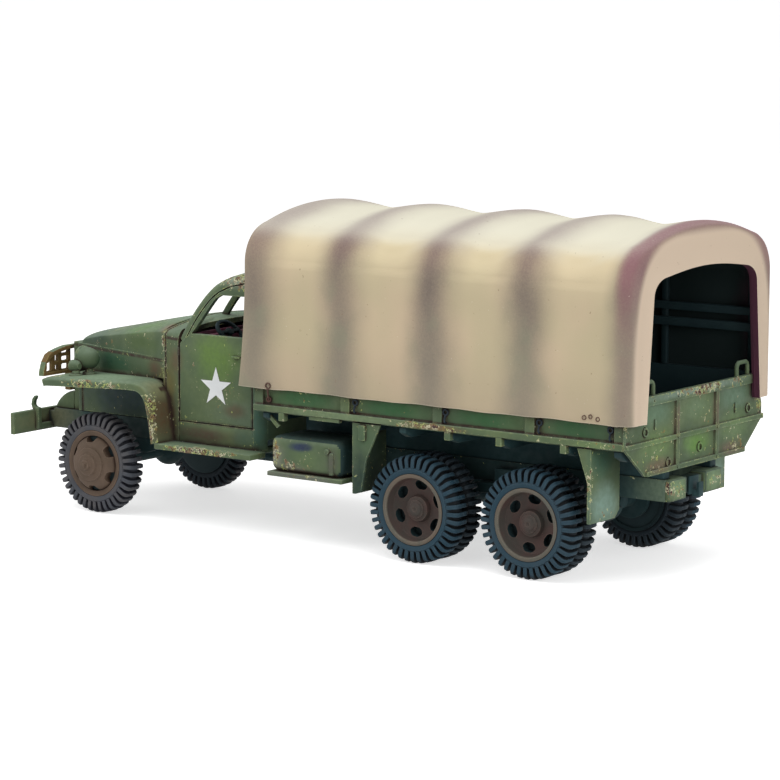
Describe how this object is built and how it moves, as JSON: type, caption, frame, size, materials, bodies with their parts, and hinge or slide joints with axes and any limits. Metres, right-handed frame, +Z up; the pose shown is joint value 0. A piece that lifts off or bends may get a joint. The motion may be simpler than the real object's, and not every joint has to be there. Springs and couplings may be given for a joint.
{
  "type": "six-wheel military cargo truck scale model",
  "caption": "Painted plastic scale model of a six-wheel military cargo truck with an open cab, a dropside bed and a moulded canvas-style cover over it.",
  "frame": {"origin": "on the ground, in the middle of the length and width", "axes": "+X to the left side of the truck, +Y to its rear, +Z up; the truck faces -Y"},
  "size_m": [0.0392, 0.1184, 0.0503],
  "materials": {
    "body_olive": "matte olive green paint with rust-brown patches and light chips on the edges",
    "cover_sand": "matte sand paint, darker bands along the bows, lighter on the crown",
    "tyre_slate": "matte slate black",
    "wheel_rust": "matte rust brown with lighter edges",
    "chassis_olive": "matte olive green, dirtier below",
    "chassis_dark": "matte dark olive black",
    "cab_maroon": "matte dark maroon",
    "hold_dark": "matte dark purple black",
    "lamp_olive": "matte olive green"
  },
  "bodies": {
    "truck": {"bed_floor": "body_olive", "bed_front": "body_olive", "bed_side_left": "body_olive", "bed_side_right": "body_olive", "box_shelves": "body_olive", "brush_guard": "body_olive", "cab_back": "body_olive", "cab_floor": "body_olive", "cab_roof": "body_olive", "canopy": "cover_sand", "canopy_bows": "hold_dark", "chassis_frame": "chassis_olive", "cowl": "body_olive", "dashboard": "cab_maroon", "door_left": "body_olive", "door_right": "body_olive", "drive_line": "chassis_dark", "engine_and_gearbox": "chassis_dark", "fender_left": "body_olive", "fender_right": "body_olive", "front_apron": "body_olive", "front_axle": "chassis_dark", "front_bumper": "body_olive", "headlamps": "lamp_olive", "hood": "body_olive", "hood_side_left": "body_olive", "hood_side_right": "body_olive", "leaf_springs": "chassis_dark", "mudflaps": "body_olive", "radiator_grille": "body_olive", "rear_axles": "chassis_dark", "running_boards": "body_olive", "seat": "cab_maroon", "side_racks": "hold_dark", "steering_wheel": "cab_maroon", "tailgate": "body_olive", "toolboxes": "body_olive", "tow_hooks": "body_olive", "tow_pintle": "chassis_olive", "windscreen_frame": "body_olive"},
    "front_left_wheel": {"tyre_front_left": "tyre_slate", "wheel_front_left": "wheel_rust"},
    "front_right_wheel": {"tyre_front_right": "tyre_slate", "wheel_front_right": "wheel_rust"},
    "middle_left_wheels": {"tyres_middle_left": "tyre_slate", "wheel_middle_left": "wheel_rust"},
    "middle_right_wheels": {"tyres_middle_right": "tyre_slate", "wheel_middle_right": "wheel_rust"},
    "rear_left_wheels": {"tyres_rear_left": "tyre_slate", "wheel_rear_left": "wheel_rust"},
    "rear_right_wheels": {"tyres_rear_right": "tyre_slate", "wheel_rear_right": "wheel_rust"}
  },
  "joints": [
    {"name": "front_left_spin", "type": "hinge", "parent": "truck", "child": "front_left_wheel", "pos_m": [0.0135, -0.0421, 0.0079], "axis": [1, 0, 0], "continuous": true},
    {"name": "front_right_spin", "type": "hinge", "parent": "truck", "child": "front_right_wheel", "pos_m": [-0.0135, -0.0421, 0.0079], "axis": [1, 0, 0], "continuous": true},
    {"name": "middle_left_spin", "type": "hinge", "parent": "truck", "child": "middle_left_wheels", "pos_m": [0.0146, 0.0216, 0.0079], "axis": [1, 0, 0], "continuous": true},
    {"name": "middle_right_spin", "type": "hinge", "parent": "truck", "child": "middle_right_wheels", "pos_m": [-0.0146, 0.0216, 0.0079], "axis": [1, 0, 0], "continuous": true},
    {"name": "rear_left_spin", "type": "hinge", "parent": "truck", "child": "rear_left_wheels", "pos_m": [0.0146, 0.0411, 0.0079], "axis": [1, 0, 0], "continuous": true},
    {"name": "rear_right_spin", "type": "hinge", "parent": "truck", "child": "rear_right_wheels", "pos_m": [-0.0146, 0.0411, 0.0079], "axis": [1, 0, 0], "continuous": true}
  ]
}
